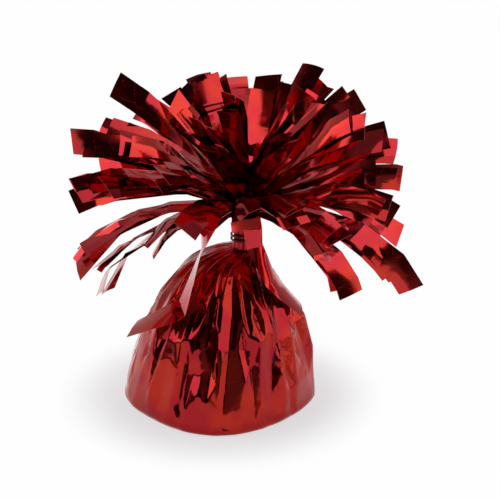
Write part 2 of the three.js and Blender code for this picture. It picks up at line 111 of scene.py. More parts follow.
def store(mesh: Mesh, name: str, values: Sequence) -> None:
    """Stores one number or vector for each point of a mesh.

    Args:
        mesh: the mesh that gets the attribute.
        name: the attribute's name.
        values: as many numbers or vectors as the mesh has points.
    """
    if isinstance(values[0], Vector):
        attribute = mesh.attributes.new(name, "FLOAT_VECTOR", "POINT")
        attribute.data.foreach_set("vector", [x for value in values for x in value])
    else:
        attribute = mesh.attributes.new(name, "FLOAT", "POINT")
        attribute.data.foreach_set("value", list(values))


def line_mesh(name: str, lines: Iterable[Sequence[Vector]]) -> Mesh:
    """Makes a mesh of open lines.

    Args:
        name: the mesh's name.
        lines: the points of each line, in millimetres.

    Returns:
        The mesh, in metres.
    """
    points: list[Vector] = []
    edges: list[tuple[int, int]] = []
    for line in lines:
        first = len(points)
        points.extend(point * MM for point in line)
        edges.extend((first + i, first + i + 1) for i in range(len(line) - 1))
    mesh = bpy.data.meshes.new(name)
    mesh.from_pydata(points, edges, [])
    return mesh


def grow(
    piece: Object, tree: NodeTree, values: dict, wall: float = 0.0, sharp_angle: float = 28.0
) -> None:
    """Runs a node tree on a piece and keeps the result as its plain mesh.

    Args:
        piece: the object whose mesh is the tree's input.
        tree: the node tree.
        values: the tree's inputs by name.
        wall: thickness given to an open sheet, in metres, or 0 for none.
        sharp_angle: edges that turn more than this, in degrees, stay sharp.
    """
    modifier = piece.modifiers.new("grow", "NODES")
    modifier.node_group = tree
    for item in tree.interface.items_tree:
        if item.item_type == "SOCKET" and item.name in values:
            modifier[item.identifier] = values[item.name]
    if wall:
        solid = piece.modifiers.new("wall", "SOLIDIFY")
        solid.thickness = wall
        solid.offset = 0.0
    graph = bpy.context.evaluated_depsgraph_get()
    made = bpy.data.meshes.new_from_object(piece.evaluated_get(graph), depsgraph=graph)
    piece.modifiers.clear()
    seed_mesh = piece.data
    piece.data = made
    bpy.data.meshes.remove(seed_mesh)
    made.name = piece.name
    made.shade_smooth()
    made.set_sharp_from_angle(angle=math.radians(sharp_angle))


# Nodes


def add_node(tree: NodeTree, kind: str, inputs: dict | None = None, **settings: str) -> Node:
    """Adds one node with its settings and inputs.

    Args:
        tree: the node tree that gets the node.
        kind: Blender's name of the node's type.
        inputs: what feeds each input, by the input's name or number: a value, another node's output,
            or another node, whose first output is taken.
        settings: the node's own properties.

    Returns:
        The new node.
    """
    node = tree.nodes.new(kind)
    for name, value in settings.items():
        setattr(node, name, value)
    for key, value in (inputs or {}).items():
        source = value.outputs[0] if isinstance(value, Node) else value
        if isinstance(source, NodeSocket):
            tree.links.new(source, node.inputs[key])
        else:
            node.inputs[key].default_value = source
    return node


def cleared_tree(holder: Material | World) -> NodeTree:
    """Turns on the nodes of a material or a surround and returns its emptied tree."""
    holder.use_nodes = True
    holder.node_tree.nodes.clear()
    return holder.node_tree


def maths(tree: NodeTree, operation: str, *values: Feed) -> NodeSocket:
    """Returns what an operation makes of numbers."""
    return add_node(tree, "ShaderNodeMath", dict(enumerate(values)), operation=operation).outputs[0]


def vector_maths(tree: NodeTree, operation: str, first: Feed, second: Feed | None = None) -> NodeSocket:
    """Adds one operation on vectors.

    Args:
        tree: the node tree.
        operation: Blender's name of the operation.
        first: the first vector.
        second: the second vector, or the factor to scale by, or none for a length.

    Returns:
        A number for a dot product or a length, and else a vector.
    """
    inputs = {0: first}
    if second is not None:
        inputs["Scale" if operation == "SCALE" else 1] = second
    node = add_node(tree, "ShaderNodeVectorMath", inputs, operation=operation)
    return node.outputs["Value" if operation in ("DOT_PRODUCT", "LENGTH") else "Vector"]


def map_range(
    tree: NodeTree, value: Feed, source: Pair, target: Pair = (0.0, 1.0), kind: str = "SMOOTHSTEP"
) -> NodeSocket:
    """Adds a change from one level to another as a value crosses a range.

    Args:
        tree: the node tree.
        value: the value that crosses the range.
        source: where the change starts and ends.
        target: the levels before and after it.
        kind: Blender's name of the way from one level to the other.

    Returns:
        The level.
    """
    node = add_node(tree, "ShaderNodeMapRange", {
        "Value": value, "From Min": source[0], "From Max": source[1],
        "To Min": target[0], "To Max": target[1],
    }, interpolation_type=kind)
    return node.outputs["Result"]


def leaning_facets(tree: NodeTree, cells: NodeSocket) -> NodeSocket:
    """Makes a field of flat facets that lean at random, as crushed film has.

    Args:
        tree: a material's tree or a geometry tree.
        cells: the place, in units of a facet's size.

    Returns:
        The height of the facets, in shares of a facet's size.
    """
    facets = add_node(tree, "ShaderNodeTexVoronoi", {"Vector": cells, "Scale": 1.0, "Randomness": 1.0})
    arm = vector_maths(tree, "SUBTRACT", cells, facets.outputs["Position"])
    lean = vector_maths(tree, "SUBTRACT", facets.outputs["Color"], (0.5, 0.5, 0.5))
    return vector_maths(tree, "DOT_PRODUCT", arm, lean)


# Finishes


@dataclass(frozen=True)
class MetallisedFilm:
    """Polyester film with a vacuum-coated aluminium layer under a clear red lacquer.

    The metal gives hard coloured reflections, the lacquer a thin white gleam on top, and handling
    leaves flat facets with sharp creases between them.
    """

    name: str
    tint: str = "#B41D27"
    warm_tint: str = "#C02818"
    roughness: float = 0.13
    smear: Pair = (0.7, 1.3)
    smear_range: Pair = (0.3, 0.7)
    lacquer: float = 0.35
    lacquer_roughness: float = 0.06
    facet_mm: float = 7.0
    facet_tilt: float = 0.03
    wrinkle_mm: float = 1.6
    wrinkle_tilt: float = 0.012
    wrinkles_a_cell: int = 3
    patch_mm: float = 14.0
    patch_range: Pair = (0.42, 0.62)

    def material(self) -> Material:
        """Builds the finish and returns its material."""
        made = bpy.data.materials.new(self.name)
        tree = cleared_tree(made)
        place = add_node(tree, "ShaderNodeTexCoord").outputs["Object"]
        patches = add_node(tree, "ShaderNodeTexNoise", {
            "Vector": place, "Scale": 1 / (self.patch_mm * MM), "Detail": 2.0, "Roughness": 0.5,
        }).outputs["Fac"]
        colour = add_node(tree, "ShaderNodeMix", {
            "Factor": map_range(tree, patches, self.patch_range, kind="LINEAR"),
            "A": linear(self.tint), "B": linear(self.warm_tint),
        }, data_type="RGBA")
        least, most = (share * self.roughness for share in self.smear)
        skin = add_node(tree, "ShaderNodeBsdfPrincipled", {
            "Base Color": colour.outputs["Result"], "Metallic": 1.0,
            "Roughness": map_range(tree, patches, self.smear_range, (least, most), "LINEAR"),
            "Coat Weight": self.lacquer, "Coat Roughness": self.lacquer_roughness,
            "Normal": self.creased_normal(tree, place),
        })
        add_node(tree, "ShaderNodeOutputMaterial", {"Surface": skin})
        return made

    def creased_normal(self, tree: NodeTree, place: NodeSocket) -> NodeSocket:
        """Tilts flat facets at random and adds fine wrinkles.

        Args:
            tree: the material's node tree.
            place: the object coordinates.

        Returns:
            The tilted normal.
        """
        facet = self.facet_mm * MM
        tilted = add_node(tree, "ShaderNodeBump", {
            "Strength": 1.0, "Distance": facet * self.facet_tilt,
            "Height": leaning_facets(tree, vector_maths(tree, "SCALE", place, 1 / facet)),
        })
        wrinkles = add_node(tree, "ShaderNodeTexNoise", {
            "Vector": place, "Scale": 1 / (self.wrinkle_mm * self.wrinkles_a_cell * MM), "Detail": 3.0,
        }, noise_type="RIDGED_MULTIFRACTAL")
        wrinkled = add_node(tree, "ShaderNodeBump", {
            "Strength": 1.0, "Distance": self.wrinkle_mm * MM * self.wrinkle_tilt,
            "Height": wrinkles.outputs["Fac"], "Normal": tilted,
        })
        return wrinkled.outputs["Normal"]


@dataclass(frozen=True)
class PlainFinish:
    """A moulded, cast or coated surface with a faint grain and small changes of colour."""

    name: str
    tint: str
    shade: str
    roughness: float
    grain_mm: float
    grain_depth_mm: float
    coat: float = 0.0

    def material(self) -> Material:
        """Builds the finish and returns its material."""
        made = bpy.data.materials.new(self.name)
        tree = cleared_tree(made)
        grain = add_node(tree, "ShaderNodeTexNoise", {
            "Vector": add_node(tree, "ShaderNodeTexCoord").outputs["Object"],
            "Scale": 1 / (self.grain_mm * MM), "Detail": 3.0,
        }).outputs["Fac"]
        colour = add_node(tree, "ShaderNodeMix", {
            "Factor": grain, "A": linear(self.tint), "B": linear(self.shade),
        }, data_type="RGBA")
        bump = add_node(tree, "ShaderNodeBump", {
            "Strength": 1.0, "Distance": self.grain_depth_mm * MM, "Height": grain,
        })
        skin = add_node(tree, "ShaderNodeBsdfPrincipled", {
            "Base Color": colour.outputs["Result"], "Roughness": self.roughness,
            "Coat Weight": self.coat, "Normal": bump,
        })
        add_node(tree, "ShaderNodeOutputMaterial", {"Surface": skin})
        return made


# Geometry Nodes trees


def new_tree(name: str, inputs: dict[str, str]) -> tuple[NodeTree, Node]:
    """Starts a geometry tree with named inputs and one geometry output.

    Args:
        name: the tree's name.
        inputs: the kind of each input after the geometry, by its name.

    Returns:
        The tree and its group input node.
    """
    tree = bpy.data.node_groups.new(name, "GeometryNodeTree")
    for label, kind in {"Geometry": "Geometry", **inputs}.items():
        tree.interface.new_socket(label, in_out="INPUT", socket_type=f"NodeSocket{kind}")
    tree.interface.new_socket("Geometry", in_out="OUTPUT", socket_type="NodeSocketGeometry")
    return tree, add_node(tree, "NodeGroupInput")


def end_tree(tree: NodeTree, geometry: Node, given: Node) -> NodeTree:
    """Ends a tree with its instances made real and its material set.

    Args:
        tree: the geometry tree.
        geometry: the node that makes its form.
        given: its group input node.

    Returns:
        The same tree.
    """
    real = add_node(tree, "GeometryNodeRealizeInstances", {"Geometry": geometry})
    dressed = add_node(tree, "GeometryNodeSetMaterial", {
        "Geometry": real, "Material": given.outputs["Finish"],
    })
    add_node(tree, "NodeGroupOutput", {"Geometry": dressed})
    return tree


def store_node(tree: NodeTree, geometry: Node, name: str, value: Feed, kind: str) -> Node:
    """Adds a node that stores a value of one kind for each point, under a name."""
    inputs = {"Geometry": geometry, "Name": name, "Value": value}
    return add_node(tree, "GeometryNodeStoreNamedAttribute", inputs, data_type=kind)


def stored(tree: NodeTree, name: str, kind: str = "FLOAT_VECTOR") -> NodeSocket:
    """Returns the value that is stored for each point under a name."""
    node = add_node(tree, "GeometryNodeInputNamedAttribute", {"Name": name}, data_type=kind)
    return node.outputs["Attribute"]


def with_stations(tree: NodeTree, given: Node, kind: str) -> Node:
    """Turns the lines of the input mesh to curves with evenly spaced stations.

    Args:
        tree: the geometry tree.
        given: its group input node.
        kind: Blender's name of the kind of curve.

    Returns:
        The node that makes the curves.
    """
    lines = add_node(tree, "GeometryNodeMeshToCurve", {"Mesh": given})
    flowing = add_node(tree, "GeometryNodeCurveSplineType", {"Curve": lines}, spline_type=kind)
    count = given.outputs["Stations"]
    return add_node(tree, "GeometryNodeResampleCurve", {"Curve": flowing, "Count": count})


def facet_height(tree: NodeTree, cell: NodeSocket, stretch: float, seed: NodeSocket) -> NodeSocket:
    """Makes a field of leaning facets for a geometry tree.

    Args:
        tree: the geometry tree.
        cell: the size of a facet.
        stretch: how much longer a facet is upright than across.
        seed: shifts the pattern, so that two pieces differ.

    Returns:
        The height of the facets, in shares of a facet's size.
    """
    place = add_node(tree, "GeometryNodeInputPosition")
    squeezed = vector_maths(tree, "MULTIPLY", place, (1.0, 1.0, 1 / stretch))
    cells = vector_maths(tree, "SCALE", squeezed, maths(tree, "DIVIDE", 1.0, cell))
    return leaning_facets(tree, vector_maths(tree, "ADD", cells, seed))


def push_out(tree: NodeTree, geometry: Feed, height: NodeSocket) -> Node:
    """Adds a node that moves each point along its normal by a height."""
    step = vector_maths(tree, "SCALE", add_node(tree, "GeometryNodeInputNormal"), height)
    return add_node(tree, "GeometryNodeSetPosition", {"Geometry": geometry, "Offset": step})


def ribbon_tree() -> NodeTree:
    """Builds the tree that sweeps a ribbon of film along each line of a mesh.

    Each point of a line carries the vector from the middle to one edge, the vector by which the
    crease stands proud of the edges, and how round the section between them is.

    Returns:
        The tree, with inputs for its stations, cells across, crumple, facet, seed and finish.
    """
    tree, given = new_tree("film_ribbon", {
        "Stations": "Int", "Cells Across": "Int", "Crumple": "Float", "Facet": "Float",
        "Seed": "Vector", "Finish": "Material",
    })
    place = add_node(tree, "GeometryNodeInputPosition")
    rails = store_node(tree, with_stations(tree, given, "POLY"), "middle", place, "FLOAT_VECTOR")
    bar = add_node(tree, "GeometryNodeCurvePrimitiveLine", {
        "Start": (-1.0, 0.0, 0.0), "End": (1.0, 0.0, 0.0),
    })
    marks = add_node(tree, "GeometryNodeResampleCurve", {
        "Curve": bar, "Count": maths(tree, "ADD", given.outputs["Cells Across"], 1.0),
    })
    x_of_place = add_node(tree, "ShaderNodeSeparateXYZ", {0: place}).outputs["X"]
    profile = store_node(tree, marks, "side", x_of_place, "FLOAT")
    swept = add_node(tree, "GeometryNodeCurveToMesh", {"Curve": rails, "Profile Curve": profile})
    side = stored(tree, "side", "FLOAT")
    across = vector_maths(tree, "SCALE", stored(tree, "edge"), side)
    curved = maths(tree, "POWER", maths(tree, "ABSOLUTE", side), stored(tree, "roundness", "FLOAT"))
    ridge = vector_maths(tree, "SCALE", stored(tree, "crease"), maths(tree, "SUBTRACT", 1.0, curved))
    section = vector_maths(tree, "ADD", across, ridge)
    ribbon = add_node(tree, "GeometryNodeSetPosition", {
        "Geometry": swept, "Position": vector_maths(tree, "ADD", stored(tree, "middle"), section),
    })
    facets = facet_height(tree, given.outputs["Facet"], 1.0, given.outputs["Seed"])
    height = maths(tree, "MULTIPLY", facets, given.outputs["Crumple"])
    return end_tree(tree, push_out(tree, ribbon, height), given)


def wrap_tree(
    broad_stretch: float = 2.4, small_stretch: float = 1.8, small_share: float = 0.35
) -> NodeTree:
    """Builds the tree that crumples a net of folded film, by an amount stored at each point.

    Args:
        broad_stretch: how much longer a broad facet is upright than across.
        small_stretch: the same for a small facet.
        small_share: how much the small facets count for beside the broad ones.

    Returns:
        The tree, with inputs for its facet, fine facet, seed and finish.
    """
    tree, given = new_tree("crumpled_wrap", {
        "Facet": "Float", "Fine Facet": "Float", "Seed": "Vector", "Finish": "Material",
    })
    broad = facet_height(tree, given.outputs["Facet"], broad_stretch, given.outputs["Seed"])
    small = facet_height(tree, given.outputs["Fine Facet"], small_stretch, given.outputs["Seed"])
    both = maths(tree, "MULTIPLY_ADD", small, small_share, broad)
    height = maths(tree, "MULTIPLY", both, stored(tree, "crumple", "FLOAT"))
    return end_tree(tree, push_out(tree, given, height), given)


def wire_tree() -> NodeTree:
    """Builds the tree that sweeps a round wire along a line.

    Returns:
        The tree, with inputs for its stations, diameter, sides and finish.
    """
    tree, given = new_tree("round_wire", {
        "Stations": "Int", "Diameter": "Float", "Sides": "Int", "Finish": "Material",
    })
    section = add_node(tree, "GeometryNodeCurvePrimitiveCircle", {
        "Resolution": given.outputs["Sides"],
        "Radius": maths(tree, "MULTIPLY", given.outputs["Diameter"], 0.5),
    })
    swept = add_node(tree, "GeometryNodeCurveToMesh", {
        "Curve": with_stations(tree, given, "CATMULL_ROM"), "Profile Curve": section, "Fill Caps": True,
    })
    return end_tree(tree, swept, given)


# Body


@dataclass(frozen=True)
class Pocket:
    """A deep kite-shaped fold that opens and closes again on its way up the body, with a steep side.

    Turn and height place its middle, and slant is how far its ends lie round from one another. The
    turns are in degrees and the rest in millimetres. Easy and steep say how many times half_width
    its two sides are wide.
    """

    turn: float
    height: float
    half_length: float
    half_width: float
    depth: float
    slant: float = 0.0
    steep_side: int = 1
    easy: float = 1.5
    steep: float = 0.5

    def depth_at(self, angle: float, z: float, radius: float) -> float:
        """Finds how deep the fold is at a place on the body.

        Args:
            angle: the place's angle, in radians.
            z: its height.
            radius: the body's radius there.

        Returns:
            The depth, or 0 outside the fold.
        """
        along = (z - self.height) / self.half_length
        if abs(along) >= 1:
            return 0.0
        turned = self.turn + self.slant * along / 2
        apart = unwound(math.degrees(angle), turned) - turned
        across = self.steep_side * math.radians(apart) * radius / self.half_width
        off_crease = -across / self.easy if across < 0 else across / self.steep
        return self.depth * max(1 - abs(along) - off_crease, 0.0)


POCKETS = (
    Pocket(279, 41, 14, 2.8, 2.2, slant=5),
    Pocket(289, 28, 18, 5.0, 3.2, slant=-7),
    Pocket(250, 20, 15, 5.4, 3.0, slant=6, steep_side=-1),
    Pocket(221, 28, 20, 4.4, 3.2, slant=8),
    Pocket(317, 27, 18, 4.6, 3.2, slant=-8, steep_side=-1),
    Pocket(262, 37, 15, 3.6, 2.8, slant=10),
    Pocket(267, 24, 14, 2.2, 1.5, slant=-4, steep_side=-1),
    Pocket(303, 38, 14, 3.0, 2.6, slant=-6),
    Pocket(236, 41, 13, 2.8, 2.4, slant=12),
    Pocket(204, 22, 14, 2.8, 2.0, slant=8, steep_side=-1),
    Pocket(338, 22, 14, 2.8, 2.0, slant=-8),
    Pocket(20, 28, 15, 3.0, 2.2, slant=6),
    Pocket(52, 22, 14, 2.8, 2.0, steep_side=-1),
    Pocket(84, 30, 15, 3.0, 2.2, slant=-6),
    Pocket(118, 20, 13, 2.8, 2.0, slant=5, steep_side=-1),
    Pocket(150, 29, 15, 3.0, 2.2, slant=-5),
    Pocket(180, 35, 14, 2.6, 2.0, slant=6),
)


@dataclass
class WrappedBody:
    """The outer sheet round the weight: its floor, pleated body and gathered neck.

    Slant is how far the pleats run round the body on their way up, in degrees. A share is of a
    pleat's depth, but pleat_share is of the body's radius.
    """

    base_radius: float = 34.2
    shoulder_height: float = 56.5
    swell: float = 1.6
    fullness: float = 0.62
    floor_round: float = 1.5
    flat_inset: float = 2.2
    flat_height: float = 34.0
    body_lean: float = 2.0
    neck_lean: float = 9.0
    lean_power: float = 18.0
    neck_radius: float = 4.6
    neck_length: float = 9.5
    neck_waist: float = 0.5
    pleats: int = 23
    foot_depth: float = 0.3
    foot_height: float = 3.0
    open_height: float = 24.0
    pleat_depth: float = 2.5
    pleat_share: float = 0.13
    wander: float = 0.34
    unevenness: float = 0.35
    slant: float = 7.0
    wander_beat: float = 1.9
    wander_length: float = 75.0
    depth_beat: float = 2.3
    depth_length: float = 48.0
    corner_fold: int = 45
    corner_proud: float = 3.4
    corner_from: float = 10.0
    corner_peak: float = 28.0
    corner_to: float = 42.0
    foot_bend: float = 3.5
    bend_heights: tuple[float, ...] = (11.0, 21.0, 31.0, 40.0, 46.5)
    bend_shift: float = 4.0
    even_heights: tuple[float, ...] = (50.5, 52.5, 54.0, 55.2, 56.0, 56.5)
    ridge_shares: Pair = (0.0, 0.3)
    flat_valley_shares: Pair = (0.15, 0.4)
    deep_valley_shares: Pair = (0.8, 1.0)
    loose_above: float = 4.0
    loose_up_to: Pair = (42.0, 50.0)
    spare_depth: float = 0.6
    crumple: float = 0.2
    crumple_from: float = 5.0
    middle_crumple: float = 0.15
    middle_height: float = 26.0
    middle_spread: float = 13.0
    facet: float = 9.0
    fine_facet: float = 4.0
    seed: tuple[float, float, float] = (3.1, 0.4, 7.7)
    film: float = 0.12
    flat_area: float = 0.0155
    floor_insets: tuple[float, ...] = (0.95, 0.7, 0.45, 0.2)
    foot_rows: tuple[float, ...] = (0.0, 0.3, 1.0)
    rows: int = 116
    neck_rows: int = 20
    cells_a_fold: int = 6
    sharp_angle: float = 70.0

    @property
    def flat_film(self) -> Pair:
        """Width and length, in metres, of the round blank of film that the shown wrap would fill."""
        across = 2 * math.sqrt(self.flat_area / math.pi)
        return across, across

    @property
    def neck_top(self) -> float:
        """Height of the neck's top."""
        return self.shoulder_height + self.neck_length

    def ridge_radius(self, z: float) -> float:
        """Finds the radius of the pleats' ridges.

        Args:
            z: the height.

        Returns:
            The radius, before the four flats are taken off.
        """
        climb = min(z / self.shoulder_height, 1.0)
        dome = (self.base_radius - self.neck_radius) * (1 - climb ** self.swell) ** self.fullness
        up_neck = max((z - self.shoulder_height) / self.neck_length, 0.0)
        waist = self.neck_waist * math.sin(math.pi * up_neck)
        into_floor = max(self.floor_round - z, 0.0)
        rounding = self.floor_round - math.sqrt(self.floor_round ** 2 - into_floor ** 2)
        return self.neck_radius + dome - waist - rounding

    def axis_at(self, z: float) -> Vector:
        """Returns the point of the body's leaning axis at a height."""
        climb = min(z / self.shoulder_height, 1.0)
        return Vector((lerp(self.body_lean * climb, self.neck_lean, climb ** self.lean_power), 0.0, z))

    def inset_at(self, z: float, angle: float) -> float:
        """Returns how far the four flats between the base's corners lie in at a height."""
        fading = 1 - smoothstep(z, 0, self.flat_height)
        return self.flat_inset * fading * (1 - math.cos(4 * angle)) / 2

    def depth_at(self, z: float) -> float:
        """Returns the depth of a pleat at a height."""
        opening = smoothstep(z, self.foot_height, self.open_height)
        opened = lerp(self.foot_depth, self.pleat_depth, opening)
        return min(opened, self.pleat_share * self.ridge_radius(z))

    def proud_at(self, z: float) -> float:
        """Returns how far the corner on the right side stands out at a height."""
        rising = (z - self.corner_from) / (self.corner_peak - self.corner_from)
        falling = (self.corner_to - z) / (self.corner_to - self.corner_peak)
        return self.corner_proud * max(min(rising, falling), 0.0)

    def fold_place(self, fold: int, z: float) -> Pair:
        """Finds where a fold line of the solid's own pleats runs.

        Args:
            fold: the line's number. Even lines are ridges and odd ones valleys.
            z: the height.

        Returns:
            The angle, in radians, and the radius.
        """
        wander = self.wander * math.sin(self.wander_beat * fold + math.tau * z / self.wander_length)
        angle = (fold + wander) * math.pi / self.pleats
        angle += math.radians(self.slant) * z / self.shoulder_height
        beat = math.sin(self.depth_beat * fold + math.tau * z / self.depth_length)
        uneven = self.unevenness * (1 + beat)
        share = uneven if fold % 2 == 0 else 1 - uneven / 2
        proud = self.proud_at(z) if fold == self.corner_fold else -self.depth_at(z) * share
        return angle, self.ridge_radius(z) - self.inset_at(z, angle) + proud

    def bends(self, fold: int) -> list[Vector]:
        """Finds the places where a fold line bends on its way up the body.

        Each line bends at heights of its own, so the film between two lines is in flat triangles. A
        valley is either deep or nearly flat, which makes some panels twice as broad.

        Args:
            fold: the line's number.

        Returns:
            The places, upwards, about the leaning axis.
        """
        chance = random.Random(f"fold {fold}")
        heights = [self.floor_round, self.foot_bend]
        heights += [z + self.bend_shift * chance.uniform(-1, 1) for z in self.bend_heights]
        places = []
        for z in [*heights, *self.even_heights]:
            angle, radius = self.fold_place(fold, z)
            if fold % 2 == 0:
                share = chance.uniform(*self.ridge_shares)
            else:
                flat = chance.uniform(*self.flat_valley_shares)
                deep = chance.uniform(*self.deep_valley_shares)
                share = chance.choice((flat, deep))
            loose = smoothstep(z, self.floor_round, self.loose_above)
            loose *= 1 - smoothstep(z, *self.loose_up_to)
            if fold != self.corner_fold:
                depth = share * (self.depth_at(z) + self.spare_depth)
                own = self.ridge_radius(z) - self.inset_at(z, angle) - depth
                radius = lerp(radius, own, loose)
            places.append(Vector((radius * math.cos(angle), radius * math.sin(angle), z)))
        return places

    @staticmethod
    def on_panel(left: list[Vector], right: list[Vector], share: float, z: float) -> Vector:
        """Finds the point of the film between two bent fold lines.

        Args:
            left: the bends of one fold line, upwards.
            right: the bends of the next fold line.
            share: how far across it lies, from 0 on the left line to 1 on the right one.
            z: its height.

        Returns:
            The point on the flat triangle that holds it.
        """
        i, j = 0, 0
        while True:
            left_ends, right_ends = i == len(left) - 1, j == len(right) - 1
            steps_left = right_ends or (not left_ends and left[i + 1].z <= right[j + 1].z)
            low_left, low_right = left[i], right[j]
            i, j = (i + 1, j) if steps_left else (i, j + 1)
            last = i == len(left) - 1 and j == len(right) - 1
            if last or z <= lerp(left[i].z, right[j].z, share):
                break
        above = z - lerp(low_left.z, low_right.z, share)
        climb = left[i] - low_left if steps_left else right[j] - low_right
        return low_left.lerp(low_right, share) + climb * (above / climb.z)

    def ring(self, z: float, folds: list[list[Vector]], inset: float = 0.0) -> list[Vector]:
        """Lays points round the film at a height, with a few between each two fold lines.

        Args:
            z: the height.
            folds: the bends of each fold line, with the first line again at the end.
            inset: share by which the points are drawn in, for the floor.

        Returns:
            The points, in order round the film.
        """
        places = [self.fold_place(fold, z) for fold in range(2 * self.pleats)]
        places.append((places[0][0] + math.tau, places[0][1]))
        on_body = self.floor_round < z < self.shoulder_height
        axis = self.axis_at(z)
        points = []
        for fold, (here, beyond) in enumerate(zip(places, places[1:])):
            for cell in range(self.cells_a_fold):
                share = cell / self.cells_a_fold
                turn = lerp(here[0], beyond[0], share)
                reach = lerp(here[1], beyond[1], share)
                if on_body:
                    place = self.on_panel(folds[fold], folds[fold + 1], share, z)
                    turn, reach = math.atan2(place.y, place.x), math.hypot(place.x, place.y)
                    ridge = self.ridge_radius(z) - self.inset_at(z, turn)
                    hollow = max(pocket.depth_at(turn, z, ridge) for pocket in POCKETS)
                    deepest = self.depth_at(z) + self.spare_depth
                    if hollow > 0:
                        reach = min(reach, ridge - hollow)
                    reach = max(reach, ridge - deepest)
                reach *= 1 - inset
                points.append(Vector((axis.x + reach * math.cos(turn), reach * math.sin(turn), z)))
        return points

    def heights(self) -> list[float]:
        """Returns the heights of the net's rows, from the floor to the neck's top."""
        foot = [share * self.floor_round for share in self.foot_rows]
        body = [
            lerp(self.floor_round, self.shoulder_height, math.sin(math.pi / 2 * row / self.rows))
            for row in range(1, self.rows + 1)
        ]
        neck = [
            lerp(self.shoulder_height, self.neck_top, row / self.neck_rows)
            for row in range(1, self.neck_rows + 1)
        ]
        return foot + body + neck

    def crumple_at(self, z: float) -> float:
        """Returns how deeply the film is crumpled at a height, in millimetres."""
        middle = math.exp(-((z - self.middle_height) / self.middle_spread) ** 2)
        return self.crumple * smoothstep(z, 0, self.crumple_from) + self.middle_crumple * middle

    def build(self, tree: NodeTree, finish: Material) -> Object:
        """Builds the crumpled outer sheet.

        Args:
            tree: the tree that crumples a net.
            finish: the film's material.

        Returns:
            The finished piece.
        """
        folds = [self.bends(fold) for fold in range(2 * self.pleats)]
        folds.append(folds[0])
        rings = [self.ring(0.0, folds, inset) for inset in self.floor_insets]
        rings += [self.ring(z, folds) for z in self.heights()]
        count = len(rings[0])
        points = [Vector((0.0, 0.0, 0.0)), *(point for ring in rings for point in ring)]
        crumples = [0.0 if p.z <= 0 else self.crumple_at(p.z) * MM for p in points]
        faces = [(0, 1 + (i + 1) % count, 1 + i) for i in range(count)]
        for low in range(1, 1 + count * (len(rings) - 1), count):
            for i in range(count):
                near = (i + 1) % count
                faces.append((low + i, low + near, low + near + count, low + i + count))
        mesh = bpy.data.meshes.new("outer_film_wrap")
        mesh.from_pydata([p * MM for p in points], [], faces)
        store(mesh, "crumple", crumples)
        piece = new_object("outer_film_wrap", mesh)
        grow(piece, tree, {
            "Facet": self.facet * MM, "Fine Facet": self.fine_facet * MM, "Seed": self.seed,
            "Finish": finish,
        }, wall=self.film * MM, sharp_angle=self.sharp_angle)
        return piece


# Strips


@dataclass(frozen=True)
class ArchedStrip:
    """A strip that arches out of the neck, and the plies of film that lie with it.

    Turn, rise and reach place its tip as seen from the fan's centre, in degrees and in shares of the
    fan's reach. Bend is how far it arches, and roll how far its face has turned over at the tip.
    Spread is how far the tips of its plies stray, in millimetres.
    """

    turn: float
    rise: float
    reach: float
    bend: float
    roll: float
    plies: int = 3
    spread: float = 5.0


@dataclass(frozen=True)
class FallenStrip:
    """A strip that hangs over the body.

    It passes places given by their turn, their height from the fan's centre and how far they stand
    off the pleats, both in route units. Twist is how far its face turns aside where it hangs free,
    and lie how far it stays turned up where it rests on the body.
    """

    name: str
    twist: float
    places: tuple[tuple[float, float, float], ...]
    lie: float = 0.0
    plies: int = 1


LOW_STRIPS = (
    ArchedStrip(4, -7, 0.87, 34, 75),
    ArchedStrip(17, -18, 1.0, 36, 60),
    ArchedStrip(40, -13, 0.95, 36, 20),
    ArchedStrip(59, -4, 0.97, 30, -15),
    ArchedStrip(78, -13, 0.95, 38, 10),
    ArchedStrip(97, -5, 0.98, 30, -20),
    ArchedStrip(115, -14, 0.95, 38, 15),
    ArchedStrip(134, -4, 1.0, 30, -40),
    ArchedStrip(150, 5, 1.0, 28, -60),
    ArchedStrip(168, -4, 1.02, 28, -70),
    ArchedStrip(179, -24, 1.05, 44, -20, plies=4),
    ArchedStrip(195, -28, 0.98, 48, 25, plies=4),
    ArchedStrip(212, -17, 0.64, 50, 30, plies=2),
    FallenStrip("left_shoulder_strip", 46, (
        (231, -0.05, 0.5), (228, -0.2, 1.1), (225, -0.9, 1.6), (228, -1.8, 1.05), (238, -2.5, 0.42),
        (235, -2.95, 0.38), (224, -3.4, 0.36), (211, -3.85, 0.36), (199, -4.3, 0.48),
    ), lie=24),
    ArchedStrip(246, 8, 0.78, 32, -30),
    ArchedStrip(270, 10, 0.74, 34, 15),
    FallenStrip("right_shoulder_strip", 0, (
        (284, -0.1, 0.45), (284, -0.6, 0.62), (287, -1.1, 0.55), (299, -1.6, 0.42),
        (318, -2.15, 0.32), (336, -2.85, 0.27), (350, -3.7, 0.27),
    )),
    ArchedStrip(313, -14, 0.66, 38, -20),
    ArchedStrip(337, -35, 0.8, 44, 35, plies=2),
    ArchedStrip(351, -26, 1.07, 42, 70),
)
MIDDLE_STRIPS = tuple(ArchedStrip(*place) for place in (
    (2, 9, 0.9, 24, 80), (25, 11, 0.95, 24, 65), (45, 20, 0.97, 20, 35), (66, 16, 0.97, 20, 15),
    (88, 20, 0.97, 20, 0), (110, 17, 0.97, 20, -15), (132, 20, 1.0, 22, -40),
    (153, 18, 1.0, 20, -60), (172, 18, 1.05, 22, -75), (192, 9, 0.97, 28, -60),
    (210, 16, 0.9, 26, -50), (232, 24, 0.85, 26, -35), (256, 38, 0.8, 26, -15),
    (290, 11, 0.82, 30, 15), (311, 0, 0.78, 32, 50), (341, 5, 0.85, 30, 75),
))
